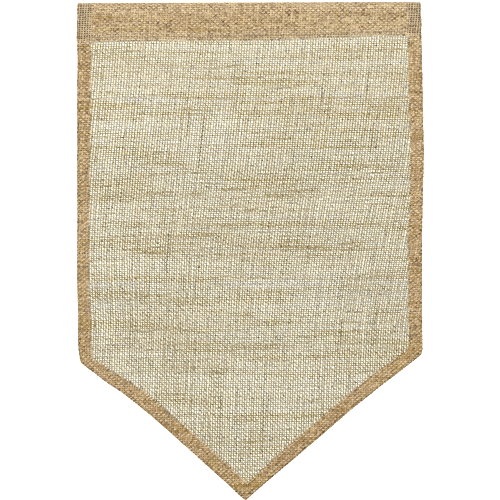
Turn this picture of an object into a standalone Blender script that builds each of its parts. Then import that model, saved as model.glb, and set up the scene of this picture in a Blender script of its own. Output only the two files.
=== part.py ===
# Burlap pennant flag as it hangs: a pointed panel of open hessian, hemmed along its two sides and its
# two slanting edges, and a sleeve for a rod folded over along its top.
# Metres, +Z up. The front faces -Y, and X runs to the right as one looks at it.
# The origin is on the axis of the rod that the sleeve is made for, halfway along the sleeve.
import math
from collections import namedtuple

import bmesh
import bpy
from mathutils import Vector

MM = 0.001

# Cloth: one ply of hessian, and what the two folded plies of a hem add behind it on the panel and
# inside the sleeve. A hem thins to one ply over its slope, so a spot halfway down it has the hem's.
PLY = 1.2 * MM
HEM_PLIES = 1.4 * MM
SLEEVE_HEM_PLIES = 1.2 * MM
HEM = 12.0 * MM
HEM_SLOPE = 1.2 * MM
FRONT = -0.6 * MM

# Overall: a flag 18 in long, of which the sleeve takes the top
LENGTH = 457.0 * MM
CROWN_RADIUS = 6.6 * MM
TOP = CROWN_RADIUS
POINT_X = -3.9 * MM
POINT_BLUNTED = 2.0 * MM
CLEARANCE = 0.3 * MM

# Sleeve: stitched shut along its lower edge, round at the top where it lies over the rod
SLEEVE_LEFT = -158.7 * MM
SLEEVE_RIGHT = 158.2 * MM
STITCHED = 4.0 * MM
CREASE = 0.2 * MM
CROWN_TILT = 0.0034
BACK_OVERHANG = 1.2 * MM
WALL_STEPS = 5
CROWN_STEPS = 8
SLEEVE_BAYS = 14

# The panel's grid of facets, its shortest edge, and how far in from an edge its straying and its
# hem's uneven width are felt
COLUMNS = 23
ROWS = 30
SHORTEST = 0.2 * MM
FELT = 60.0 * MM
HEM_FELT = 30.0 * MM

# How tall the sleeve is along its length, from its top to its lower edge
Drop = namedtuple("Drop", "x_mm height_mm")
SLEEVE_DROPS = (
    Drop(-158.7, 35.8),
    Drop(-115.0, 35.6),
    Drop(-69.0, 34.9),
    Drop(-23.0, 35.5),
    Drop(23.0, 34.7),
    Drop(69.0, 33.2),
    Drop(115.0, 31.3),
    Drop(158.2, 30.8),
)

# Each edge from its upper end to its lower end: how far it strays outward from straight, and how
# wide its hem is there
Stop = namedtuple("Stop", "along stray_mm hem_mm")
LEFT_STOPS = (
    Stop(0.00, 0.0, 12.4),
    Stop(0.20, 0.8, 12.0),
    Stop(0.50, 1.5, 10.6),
    Stop(0.78, 2.2, 10.2),
    Stop(0.86, 1.1, 10.8),
    Stop(0.94, 0.4, 11.4),
    Stop(1.00, 0.0, 11.5),
)
RIGHT_STOPS = (
    Stop(0.00, 0.0, 12.4),
    Stop(0.24, 1.2, 12.4),
    Stop(0.37, 1.9, 11.8),
    Stop(0.50, 0.9, 11.5),
    Stop(0.63, 0.0, 12.6),
    Stop(0.93, -0.3, 12.0),
    Stop(1.00, 0.0, 11.5),
)
LEFT_SLANT_STOPS = (
    Stop(0.00, 0.0, 9.8),
    Stop(0.13, -1.0, 11.2),
    Stop(0.25, -2.8, 13.2),
    Stop(0.37, -4.0, 13.4),
    Stop(0.49, -3.4, 13.4),
    Stop(0.62, -2.5, 13.4),
    Stop(0.84, -1.6, 12.6),
    Stop(1.00, 0.0, 12.0),
)
RIGHT_SLANT_STOPS = (
    Stop(0.00, 0.0, 11.5),
    Stop(0.10, -0.8, 12.2),
    Stop(0.25, -1.7, 12.9),
    Stop(0.41, -2.1, 12.9),
    Stop(0.60, -1.4, 12.9),
    Stop(0.76, -1.0, 12.4),
    Stop(0.90, -0.7, 11.4),
    Stop(1.00, 0.0, 10.8),
)

# The panel's five corners, in X and Z. The lowest is where the slanting edges would meet: the cloth is
# folded blunt a little above it.
TOP_LEFT = Vector((-158.8 * MM, -29.3 * MM))
TOP_RIGHT = Vector((158.3 * MM, -23.8 * MM))
LEFT_SHOULDER = Vector((-156.3 * MM, -325.0 * MM))
RIGHT_SHOULDER = Vector((159.1 * MM, -317.5 * MM))
POINT = Vector((POINT_X, TOP - LENGTH - POINT_BLUNTED))

# The gentle waves in which the panel hangs: each one's length across, its lean, its height and phase
Wave = namedtuple("Wave", "across_mm lean height_mm phase")
WAVES = (
    Wave(290.0, 0.35, 1.5, 0.6),
    Wave(155.0, -0.20, 0.7, 2.1),
    Wave(96.0, 0.10, 0.3, 4.0),
)
WAVES_FULL_BELOW = 180.0 * MM
POINT_CURL = 2.5 * MM
CURL_FROM = 330.0 * MM


def clear_scene():
    for old in list(bpy.data.objects):
        bpy.data.objects.remove(old, do_unlink=True)


def burlap():
    material = bpy.data.materials.new("burlap")
    material.use_nodes = True
    shader = material.node_tree.nodes["Principled BSDF"]
    shader.inputs["Base Color"].default_value = (0.47, 0.36, 0.20, 1.0)
    shader.inputs["Roughness"].default_value = 0.9
    shader.inputs["Metallic"].default_value = 0.0
    return material


def eased(share):
    """A soft ramp from 0 to 1."""
    share = min(max(share, 0.0), 1.0)
    return share * share * (3.0 - 2.0 * share)


def read_off(stops, where, key, value):
    """A table's value at a place between two of its rows, in metres."""
    if where <= getattr(stops[0], key):
        return getattr(stops[0], value) * MM
    for low, high in zip(stops, stops[1:]):
        start, end = getattr(low, key), getattr(high, key)
        if where <= end:
            share = eased((where - start) / (end - start))
            return (getattr(low, value) * (1.0 - share) + getattr(high, value) * share) * MM
    return getattr(stops[-1], value) * MM


def crown_lift(x):
    """The sleeve's top rises a little from left to right."""
    return CROWN_TILT * x


def seam_z(x):
    """Height of the sleeve's lower edge, where the panel begins."""
    return TOP + crown_lift(x) - read_off(SLEEVE_DROPS, x / MM, "x_mm", "height_mm")


class Edge:
    """One of the panel's hemmed edges, as a straight line with the panel on its inner side."""

    def __init__(self, start, end, stops, inside):
        self.start = start
        self.run = end - start
        self.stops = stops
        normal = Vector((self.run.y, -self.run.x)).normalized()
        self.outward = -normal if (inside - start).dot(normal) > 0.0 else normal

    def depth(self, spot):
        return -(spot - self.start).dot(self.outward)

    def along(self, spot):
        return (spot - self.start).dot(self.run) / self.run.length_squared

    def pull(self, spot):
        """How this edge's straying and its hem's uneven width move a spot of the straight panel."""
        depth = self.depth(spot)
        along = self.along(spot)
        stray = read_off(self.stops, along, "along", "stray_mm") * (1.0 - eased(depth / FELT))
        narrower = HEM - read_off(self.stops, along, "along", "hem_mm")
        felt = depth / HEM if depth < HEM else 1.0 - eased((depth - HEM) / HEM_FELT)
        return self.outward * (stray + narrower * felt)


def panel_edges():
    inside = (TOP_LEFT + TOP_RIGHT + POINT) / 3.0
    return (
        Edge(TOP_LEFT, LEFT_SHOULDER, LEFT_STOPS, inside),
        Edge(TOP_RIGHT, RIGHT_SHOULDER, RIGHT_STOPS, inside),
        Edge(LEFT_SHOULDER, POINT, LEFT_SLANT_STOPS, inside),
        Edge(RIGHT_SHOULDER, POINT, RIGHT_SLANT_STOPS, inside),
    )


def hang_y(x, z):
    """How far back the hanging cloth lies at a spot, flat at the sleeve and wavier lower down."""
    below = TOP_LEFT.y - z
    grown = eased(below / WAVES_FULL_BELOW)
    bend = 0.0
    for wave in WAVES:
        turn = 2.0 * math.pi * (x + wave.lean * z) / (wave.across_mm * MM) + wave.phase
        bend += wave.height_mm * MM * math.sin(turn)
    curl = POINT_CURL * eased((below - CURL_FROM) / (LENGTH - CURL_FROM))
    return grown * bend - curl


def cut_flat(bm, on_line, outward, clear):
    """Cuts the flat panel along a line, and drops what lies outward of it if clear is set."""
    bmesh.ops.bisect_plane(
        bm,
        geom=bm.verts[:] + bm.edges[:] + bm.faces[:],
        dist=0.001 * MM,
        plane_co=(on_line.x, 0.0, on_line.y),
        plane_no=(outward.x, 0.0, outward.y),
        clear_outer=clear,
    )


def flat_panel(bm, edges):
    """The straight-edged panel as one sheet of facets in the XZ plane, scored along its hem lines."""
    left = min(TOP_LEFT.x, LEFT_SHOULDER.x) - HEM / 2.0
    right = max(TOP_RIGHT.x, RIGHT_SHOULDER.x) + HEM / 2.0
    height = TOP_RIGHT.y - POINT.y
    bmesh.ops.create_grid(bm, x_segments=COLUMNS, y_segments=ROWS, size=0.5)
    for vert in bm.verts:
        x = left + (vert.co.x + 0.5) * (right - left)
        z = TOP_RIGHT.y + (vert.co.y - 0.5) * height
        vert.co = (x, 0.0, z)
    for edge in edges:
        cut_flat(bm, edge.start, edge.outward, clear=True)
    cut_flat(bm, Vector((POINT_X, TOP - LENGTH)), Vector((0.0, -1.0)), clear=True)
    for edge in edges:
        for depth in (HEM, HEM + HEM_SLOPE):
            cut_flat(bm, edge.start - edge.outward * depth, edge.outward, clear=False)
    bmesh.ops.dissolve_degenerate(bm, dist=SHORTEST, edges=bm.edges[:])


def cloth_depth(spot, edges):
    """One ply, and the hem's folded plies for each hem that lies over the spot."""
    hems = sum(1 for edge in edges if edge.depth(spot) < HEM + HEM_SLOPE / 2.0)
    return PLY + HEM_PLIES * hems


def hung(vert, edges):
    """Moves a vertex of the straight panel to where the hanging cloth has it."""
    spot = Vector((vert.co.x, vert.co.z))
    moved = spot.copy()
    for edge in edges:
        moved += edge.pull(spot)
    from_top = TOP_RIGHT.y - spot.y
    rise = seam_z(moved.x) - CLEARANCE - TOP_RIGHT.y
    moved.y += rise * (1.0 - eased(from_top / FELT))
    return Vector((moved.x, vert.co.y + FRONT + hang_y(moved.x, moved.y), moved.y))


def make_panel(material):
    edges = panel_edges()
    bm = bmesh.new()
    flat_panel(bm, edges)
    front = set(bm.verts)
    bmesh.ops.extrude_face_region(bm, geom=bm.faces[:])
    for vert in bm.verts:
        if vert not in front:
            vert.co.y = cloth_depth(Vector((vert.co.x, vert.co.z)), edges)
    for vert in bm.verts:
        vert.co = hung(vert, edges)
    return finish_object(bm, "panel", material)


def sleeve_wall(x):
    """A wall of the sleeve is one ply, and three at its ends, where the side hems run up inside it."""
    from_end = min(x - SLEEVE_LEFT, SLEEVE_RIGHT - x)
    inside_hem = 1.0 - min(max((from_end - HEM) / HEM_SLOPE, 0.0), 1.0)
    return PLY + SLEEVE_HEM_PLIES * inside_hem


def sleeve_side(x):
    """Points up one long side of the sleeve's section: how full it is there, from 0 to 1, and height."""
    low = seam_z(x) + STITCHED
    shares = [step / WALL_STEPS for step in range(WALL_STEPS)]
    return [(math.sin(math.pi / 2.0 * share), low * (1.0 - share)) for share in shares]


def section(x, inset):
    """The sleeve's section at x, from the front of its lower edge over the crown to the back, at a
    given inset from its outer surface. Without an inset it takes in the stitched lower edge too."""
    wall = sleeve_wall(x)
    back = FRONT + 2.0 * wall + CREASE
    lower = seam_z(x)
    radius = CROWN_RADIUS - inset
    front_side = []
    back_side = []
    for fullness, z in sleeve_side(x):
        front_side.append((FRONT + (-CROWN_RADIUS - FRONT) * fullness + inset, z))
        back_side.append((back + (CROWN_RADIUS - back) * fullness - inset, z))
    crown = []
    for step in range(CROWN_STEPS + 1):
        turn = math.pi * (1.0 - step / CROWN_STEPS)
        crown.append((radius * math.cos(turn), radius * math.sin(turn)))
    points = front_side + crown + back_side[::-1]
    if inset == 0.0:
        points = [(FRONT, lower)] + points + [(back, lower)]
    return [(x, y, z + crown_lift(x)) if z > 0.0 else (x, y, z) for y, z in points]


def sleeve_stations():
    """Where the sleeve's sections stand along X: both ends, the ends of its hems, and evenly between."""
    depths = (0.0, HEM, HEM + HEM_SLOPE)
    left = [SLEEVE_LEFT + depth for depth in depths]
    right = [SLEEVE_RIGHT - depth for depth in reversed(depths)]
    pitch = (right[0] - left[-1]) / SLEEVE_BAYS
    between = [left[-1] + pitch * bay for bay in range(1, SLEEVE_BAYS)]
    return left + between + right


def ring(bm, points):
    verts = [bm.verts.new(point) for point in points]
    return [bm.edges.new((a, b)) for a, b in zip(verts, verts[1:] + verts[:1])]


def back_overhang(spot):
    """At its left end the back wall was sewn down a little past the front one."""
    behind = eased(spot.y / CROWN_RADIUS)
    lower = eased(-spot.z / (2.0 * CROWN_RADIUS))
    return BACK_OVERHANG * behind * lower


def make_sleeve(material):
    bm = bmesh.new()
    stations = sleeve_stations()
    outer = [ring(bm, section(x, 0.0)) for x in stations]
    inner = [ring(bm, section(x, sleeve_wall(x))) for x in stations]
    for rings in (outer, inner):
        for one, other in zip(rings, rings[1:]):
            bmesh.ops.bridge_loops(bm, edges=one + other)
    for end in (0, -1):
        bmesh.ops.triangle_fill(
            bm, edges=outer[end] + inner[end], normal=(1.0, 0.0, 0.0), use_beauty=True
        )
    for vert in bm.verts:
        if vert.co.x < SLEEVE_LEFT + CREASE:
            vert.co.x -= back_overhang(vert.co)
    return finish_object(bm, "rod_sleeve", material)


def finish_object(bm, name, material):
    """Closes a mesh's normals outward, triangulates it and puts it in the scene."""
    bmesh.ops.triangulate(bm, faces=bm.faces[:])
    bmesh.ops.recalc_face_normals(bm, faces=bm.faces[:])
    mesh = bpy.data.meshes.new(name)
    bm.to_mesh(mesh)
    bm.free()
    mesh.materials.append(material)
    mesh.shade_smooth()
    mesh.set_sharp_from_angle(angle=math.radians(40.0))
    made = bpy.data.objects.new(name, mesh)
    bpy.context.scene.collection.objects.link(made)
    return made


def main():
    clear_scene()
    cloth = burlap()
    make_panel(cloth)
    make_sleeve(cloth)


main()
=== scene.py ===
# Burlap pennant flag. The hessian is woven thread by thread on the flat, its hems and its rod sleeve
# are folded over and stitched, and the whole cloth is then hung where the CAD panel and sleeve are.
import math

import bmesh
import bpy
import numpy as np
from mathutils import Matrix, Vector
from mathutils.bvhtree import BVHTree


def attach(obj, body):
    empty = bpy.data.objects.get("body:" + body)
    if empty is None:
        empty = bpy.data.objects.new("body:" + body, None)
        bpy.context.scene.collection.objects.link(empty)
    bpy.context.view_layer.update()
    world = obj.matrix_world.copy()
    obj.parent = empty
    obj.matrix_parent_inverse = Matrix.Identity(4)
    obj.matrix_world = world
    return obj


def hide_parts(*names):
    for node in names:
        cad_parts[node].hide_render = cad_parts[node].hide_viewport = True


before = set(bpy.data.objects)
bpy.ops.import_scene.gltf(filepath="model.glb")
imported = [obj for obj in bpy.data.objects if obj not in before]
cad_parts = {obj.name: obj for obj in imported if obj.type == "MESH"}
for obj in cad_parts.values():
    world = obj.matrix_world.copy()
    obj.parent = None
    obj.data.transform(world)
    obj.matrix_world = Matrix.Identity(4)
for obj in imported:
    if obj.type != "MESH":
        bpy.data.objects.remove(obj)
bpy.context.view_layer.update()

mm = 0.001
dice = np.random.default_rng(1857)  # one seed, so each run weaves the same cloth


# Reading the CAD: its skin, its hemmed edges and the seam under the sleeve
outline = {
    "topLeft": (-158.8, -29.3),  # corners of the panel in mm, across and up
    "topRight": (158.3, -23.8),
    "leftShoulder": (-156.3, -325.0),
    "rightShoulder": (159.1, -317.5),
    "point": (-3.9, -452.4),
    "middle": (0.0, -200.0),  # a spot well inside the panel
    "widest": 166.0,  # mm to each side, as far as the skin is read off
    "stations": 50,  # places along an edge where it is read off
    "strayMost": 6.0,  # mm that an edge may stray from straight
    "hemThicker": 1.9,  # mm: the cloth is thicker than this only in a hem
    "hemBetween": (5.0, 18.0),  # mm within which a hem's width is looked for
    "hemStep": 0.6,  # mm of its inner edge, where it thins out to the panel, that isn't counted
    "sleeveLeft": -158.5,  # mm, the sleeve's two ends
    "sleeveRight": 158.0,
    "crownShorter": 0.9,  # mm that the crown's right end stays back
    "backOverhang": 1.2,  # mm that the back wall was sewn down past the front one at the left
    "crownFrom": (-12.0, 12.0),  # the flat height where the crown begins, and over how many mm it does
    "crownTo": (34.0, 14.0),
    "backFrom": (22.0, 12.0),  # and the same for the back wall
    "seamReach": (-158.0, 157.5),  # mm across, between which the sleeve's lower edge is read off
}


def ramp(value):  # eases from 0 to 1
    value = np.clip(value, 0, 1)
    return value * value * (3 - 2 * value)


def skinOf(*names):  # these CAD nodes as one surface that rays can be cast at
    verts, faces = [], []
    for name in names:
        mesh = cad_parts[name].data
        faces += [[len(verts) + i for i in face.vertices] for face in mesh.polygons]
        verts += [vert.co.copy() for vert in mesh.vertices]
    return BVHTree.FromPolygons(verts, faces)


clothSkin = skinOf("panel", "rod_sleeve")
panelSkin = skinOf("panel")
sleeveSkin = skinOf("rod_sleeve")


def struck(skin, x, z, side):  # how far back the skin lies, seen from the front (-1) or the back (1)
    hit = skin.ray_cast(Vector((x, side * 0.1, z)), Vector((0, -side, 0)))[0]
    return None if hit is None else hit.y


def halved(holds, near, far):  # the last place from near to far where holds is true
    for _ in range(14):
        middle = (near + far) / 2
        near, far = (middle, far) if holds(middle) else (near, middle)
    return near


class FoldLine:
    # an edge of the finished cloth, straight between two corners, and how the CAD cloth strays from it
    def __init__(self, start, end):
        self.start = np.array(outline[start]) * mm
        self.run = np.array(outline[end]) * mm - self.start
        across = np.array((self.run[1], -self.run[0])) / np.linalg.norm(self.run)
        middle = np.array(outline["middle"]) * mm
        self.outward = across if np.dot(middle - self.start, across) < 0 else -across
        self.stations = np.linspace(0.015, 0.985, outline["stations"])
        self.stray = np.array([self.readStray(along) for along in self.stations])
        self.width = self.readWidths()

    def spot(self, along, out):
        return self.start + self.run * along + self.outward * out

    def readStray(self, along):
        most = outline["strayMost"] * mm

        def onCloth(out):
            return struck(clothSkin, *self.spot(along, out), -1) is not None
        return halved(onCloth, -most, most)

    def readWidths(self):
        near, far = (depth * mm for depth in outline["hemBetween"])

        def thick(along, depth):
            x, z = self.spot(along, np.interp(along, self.stations, self.stray) - depth)
            front, back = struck(clothSkin, x, z, -1), struck(clothSkin, x, z, 1)
            return front is None or back - front > outline["hemThicker"] * mm
        known = [(along, halved(lambda depth: thick(along, depth), near, far))
                 for along in self.stations if not thick(along, far)]
        return np.interp(self.stations, *zip(*known)) - outline["hemStep"] * mm

    def beyond(self, x, v):  # how far outward of the edge, and how wide the hem is there
        offX, offV = x - self.start[0], v - self.start[1]
        along = (offX * self.run[0] + offV * self.run[1]) / np.dot(self.run, self.run)
        out = offX * self.outward[0] + offV * self.outward[1]
        out = out - np.interp(along, self.stations, self.stray)
        if self.outward[1] > -0.3:  # a side edge runs on up the sleeve and down its back
            side = np.sign(self.outward[0])
            out = np.where(v > np.interp(x, seamX, seamZ), (x - sleeveEnd(side, v)) * side, out)
        return out, np.interp(along, self.stations, self.width)


def sleeveEnd(side, v):  # the sleeve's left (-1) or right (1) end, at each height of the flat cut
    (rises, rising), (falls, falling), (starts, starting) = (
        np.array(outline[label]) * mm for label in ("crownFrom", "crownTo", "backFrom"))
    crown = ramp((v - rises) / rising) * ramp((falls - v) / falling)
    behind = ramp((v - starts) / starting)
    left = outline["sleeveLeft"] - outline["backOverhang"] * behind
    right = outline["sleeveRight"] - outline["crownShorter"] * crown
    return np.where(side < 0, left, right) * mm


# the sleeve's lower front edge, looked for from below
seamX = np.linspace(*outline["seamReach"], 60) * mm
seamHits = [sleeveSkin.ray_cast(Vector((x, -0.3 * mm, -0.1)), Vector((0, 0, 1)))[0] for x in seamX]
seamZ = np.array([hit.z for hit in seamHits])

# in the order in which they are folded: the two sides, then the two slants over them
foldLines = [FoldLine(start, end) for start, end in (
    ("topLeft", "leftShoulder"), ("topRight", "rightShoulder"),
    ("leftShoulder", "point"), ("rightShoulder", "point"))]
hemsWide = [round(float(line.width.mean()) / mm, 1) for line in foldLines]
print("edges read off the CAD: hems", hemsWide, "mm wide")


class SkinField:
    # the CAD skin as seen from one side, read off on a grid
    def __init__(self, skin, side, lowest, highest, step=3 * mm):
        self.xs = np.arange(-outline["widest"] * mm, outline["widest"] * mm, step)
        self.zs = np.arange(lowest, highest, step)
        self.ys = np.full((len(self.zs), len(self.xs)), np.nan)
        for row, z in enumerate(self.zs):
            for column, x in enumerate(self.xs):
                hit = struck(skin, x, z, side)
                if hit is not None:
                    self.ys[row, column] = hit
            known = np.nonzero(~np.isnan(self.ys[row]))[0]
            if len(known):  # past its edges the cloth is taken to lie as at the edge
                self.ys[row] = np.interp(self.xs, self.xs[known], self.ys[row, known])
        known = np.nonzero(~np.isnan(self.ys[:, 0]))[0]
        for column in range(len(self.xs)):
            self.ys[:, column] = np.interp(self.zs, self.zs[known], self.ys[known, column])

    def at(self, x, z):
        # 1.001: the last place still has a next one to blend with
        column = np.clip((x - self.xs[0]) / (self.xs[1] - self.xs[0]), 0, len(self.xs) - 1.001)
        row = np.clip((z - self.zs[0]) / (self.zs[1] - self.zs[0]), 0, len(self.zs) - 1.001)
        i, j = column.astype(int), row.astype(int)
        a, b = column - i, row - j
        low = self.ys[j, i] * (1 - a) + self.ys[j, i + 1] * a
        high = self.ys[j + 1, i] * (1 - a) + self.ys[j + 1, i + 1] * a
        return low * (1 - b) + high * b


# each between its lowest and its highest place
panelFront = SkinField(panelSkin, -1, -452 * mm, -20 * mm)
sleeveFront = SkinField(sleeveSkin, -1, -32 * mm, 1 * mm, 1.5 * mm)
sleeveBack = SkinField(sleeveSkin, 1, -32 * mm, 1 * mm, 1.5 * mm)
print("skin read off the CAD")


# Folding and hanging: from the flat cut, across x and up v, to where the real cloth is
folding = {
    "plyGap": 0.85,  # mm from the middle of one ply to the next
    "halfPly": 0.5,  # mm from the CAD's skin to the middle of the outer ply
    "thinnest": 0.05,  # mm, the least that a thread bends round
    "crown": 6.1,  # mm, the middle of the cloth round the rod
    "crownTilt": 0.0034,  # how much higher the crown is to the right, as a share
    "turnedUnder": 8.0,  # mm of raw edge inside the sleeve's seam
    "rawReach": 0.8,  # mm past twice the hem's width: the raw edge ends just inside the outer fold
    "thickMost": 2.4,  # mm, past which stacked hems are pressed flat
    "pressed": 0.45,  # and to this share of the rest
    "stitchInset": 7.7,  # mm from a hem's fold to its stitches
    "grooveWide": 1.4,  # mm, half the width of the dip along them
    "groove": 0.3,  # how much thinner the hem is there
}
plyGap = folding["plyGap"] * mm
crownRadius = folding["crown"] * mm
crownRun = math.pi * crownRadius


def backEnd(x):  # the flat height at which the sleeve's back wall reaches the seam
    return crownRun - np.interp(x, seamX, seamZ)


def hemFold(out, front, width, radius):
    # a double turned hem: round the edge to the back, in to the hem's width, and back out inside it
    inner = radius / 2
    least = folding["thinnest"] * mm
    bend = out + radius
    turn = np.clip(bend / radius, 0, math.pi)
    reach = np.maximum(radius + front, least)
    inward = bend - math.pi * radius
    past = inward - (width - radius - inner)
    innerTurn = np.clip(past / inner, 0, math.pi)
    innerReach = np.maximum(inner + front, least)
    stages = [bend < 0, inward < 0, past < 0, past < math.pi * inner]
    newOut = np.select(stages, [
        out, -radius + reach * np.sin(turn), -radius - inward,
        inner - width - innerReach * np.sin(innerTurn)], inner - width + past - math.pi * inner)
    newFront = np.select(stages, [
        front, -radius + reach * np.cos(turn), -2 * radius - front,
        inner - 2 * radius - innerReach * np.cos(innerTurn)], -radius + front)
    return newOut, newFront


def lineRadius(index, x, v, out):  # a fold is fuller where it turns a hem that is already there
    line = foldLines[index]
    footX, footV = x - line.outward[0] * out, v - line.outward[1] * out
    thicker = 0.0
    for other in foldLines[:index]:
        away, width = other.beyond(footX, footV)
        thicker = np.maximum(thicker, 1 - ramp((-away - width) / (2 * mm)))
    return plyGap * (1 + 2 * thicker)


def foldOver(x, v, front, upTo=None):  # up to one of the fold lines, or else all and the raw edge too
    for index, line in enumerate(foldLines[:upTo]):
        out, width = line.beyond(x, v)
        newOut, front = hemFold(out, front, width, lineRadius(index, x, v, out))
        x, v = x + line.outward[0] * (newOut - out), v + line.outward[1] * (newOut - out)
    if upTo is None:
        past = v - backEnd(x)
        newPast, under = hemFold(past, front, 1.0, plyGap / 2)
        turned = past > -5 * mm
        v, front = np.where(turned, v + newPast - past, v), np.where(turned, under, front)
    return x, v, front


def pressDown(x, v, front):  # stacked hems are pressed, and the stitching draws a hem together
    deepest = folding["thickMost"] * mm
    front = np.where(front < -deepest, -deepest + (front + deepest) * folding["pressed"], front)
    for line in foldLines:
        out, _ = line.beyond(x, v)
        bell = np.exp(-(((-out / mm) - folding["stitchInset"]) / folding["grooveWide"]) ** 2)
        drawn = 1 - folding["groove"] * bell * (v < 0)
        front = -plyGap + (front + plyGap) * drawn
    return front


def hang(x, v, front):
    # from the folded flat cut to where the cloth hangs: panel, sleeve front, crown and sleeve back
    half = folding["halfPly"] * mm
    front = pressDown(x, v, front)
    seam = np.interp(x, seamX, seamZ)
    lift = folding["crownTilt"] * x
    turn = np.clip(v / crownRadius, 0, math.pi)
    around = crownRadius + front
    down = -(v - crownRun)
    spots = np.stack([x, panelFront.at(x, v) + half - front, v], 1)
    onFront = np.stack([x, sleeveFront.at(x, v) + half - front, v], 1)
    onCrown = np.stack([x, -around * np.cos(turn), around * np.sin(turn) + lift * np.sin(turn)], 1)
    onBack = np.stack([x, sleeveBack.at(x, down) - half + front, down], 1)
    spots = np.where((v > seam)[:, None], onFront, spots)
    spots = np.where((v > 0)[:, None], onCrown, spots)
    return np.where((v > crownRun)[:, None], onBack, spots)


# The weave: where its upright and level threads cross, all in mm until the end
weave = {
    "warpSpan": (-232.0, 232.0),  # the flat cut that is woven, across and up
    "weftSpan": (-482.0, 66.0),
    "warpPitch": 2.37,
    # up, and the pitch of the weft there: it was beaten up closer across the middle
    "weftPitch": [(-480, 1.97), (-400, 1.95), (-330, 1.91), (-280, 1.89), (-245, 1.82), (-185, 1.83),
                  (-140, 1.9), (70, 1.94)],
    # up, and how far the warp is drawn in or spread there, as a share
    "drawnIn": [(-480, -0.045), (-290, -0.055), (-225, -0.02), (-140, 0.0), (70, 0.004)],
    "warpWidth": 1.42,  # of a thread, as seen from the front
    "weftWidth": 1.1,
    "pressed": 0.34,  # a thread in a hem or the sleeve is this much wider, and flatter
    "seamed": 0.22,  # how much thinner the cloth looks where the sleeve is pressed along its seam
    "seamPaler": 2.5,  # how much paler it is there, as a share of that
    "seamDepth": 8.0,  # mm
    "foldShade": 0.26,  # painted shade: how much darker it is right at an outer fold
    "foldShadeDepth": 1.8,  # mm
    "cornerThinner": 0.54,  # how much thinner the outer threads are in the corners: more shows between
    # painted highlight: how much paler the tops of the outer threads are in the corners
    "cornerPaler": 1.5,
    "hemGold": 0.13,  # how much yellower the hems are
    "golden": 0.03,  # how golden the weft is all over
    "goldStreaks": 0.92,  # how unevenly golden the weft is along its length
    "warpStreaked": 0.35,  # and the warp, as a share of that
    "weftStreaks": ((70.0, 4.5), (45.0, 1.9)),  # mm long and across, longer and shorter ones
    "warpStreaks": ((60.0, 3.6), (40.0, 2.4)),
    "looseSlubs": 150,  # faint slubs anywhere
    "slubWider": 0.34,  # how much thicker a slub is
    "slubOver": 0.5,  # how golden a warp is where a slub passes it, as a share of the slub
    "slubNear": ((-2, 0.3), (-1, 0.6), (1, 0.6), (2, 0.3)),  # the wefts beside it take a share
    "flatness": 0.45,  # a thread's thickness as a share of its width
    "crimp": 0.28,  # mm that it passes in front of and behind the middle of the cloth
    "warpDarker": 0.07,  # how much darker the open warp is, and paler the open weft
    "edged": 0.55,  # painted shade: how much darker the sides of an open thread are than its front and back
    "warpUneven": 0.008,  # how much the distance to the next thread varies, as a share of the pitch
    "weftUneven": 0.032,
    "warpUnevenWidth": 0.02,  # from thread to thread, as a share
    "weftUnevenWidth": 0.045,
    "widthWander": 0.05,  # and along one thread, from one of these stretches in mm to the next
    "warpStretch": 22.0,
    "weftStretch": 18.0,
    "warpWander": 0.14,  # mm that a thread strays along its length
    "weftWander": 0.13,
    "jogged": (0.28, 0.23),  # mm: the yarn's twist skews the cloth, every other crossing up and right
    "joggedLower": 0.8,  # and by so much more below its upper third
    "jitter": (0.11, 0.16),  # mm that a single crossing is out of place, across and up
    # how far the warp leans, its top to the right, in degrees, and how much more it does at the right
    "lean": [(-470, 1.0, 0.0), (-383, 1.5, 0.4), (-346, 1.7, 0.6), (-309, 2.4, 1.0), (-273, 3.3, 1.7),
             (-236, 4.4, 1.5), (-199, 7.3, 2.0), (-162, 7.9, 1.6), (-125, 6.4, 0.4), (-88, 6.3, 0.0),
             (-51, 5.0, 0.0), (0, 4.0, 0.0), (80, 3.5, 0.0)],
    "leanFrom": -200.0,  # the height at which the warps are in their places
    # up, and how wide and how much darker the threads are there: below its upper third the cloth is
    # opener
    "wideAt": [(-480, 0.965), (-140, 0.965), (-80, 1.02), (70, 1.02)],
    "darkAt": [(-480, 0.06), (-140, 0.05), (-80, -0.05), (70, -0.05)],
    # how pale (or, below 0, dark) a folded thread is where it lies over another, a painted highlight
    # (or shade), and how that varies
    "weftSpark": (0.75, 0.2),
    "weftSparkByThread": 0.38,
    "warpSpark": (-0.25, 0.2),
    "knotted": 0.13,  # how dark the spots are where two threads cross
    "blackKnots": 0.02,  # the share of them that are nearly black
}

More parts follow.
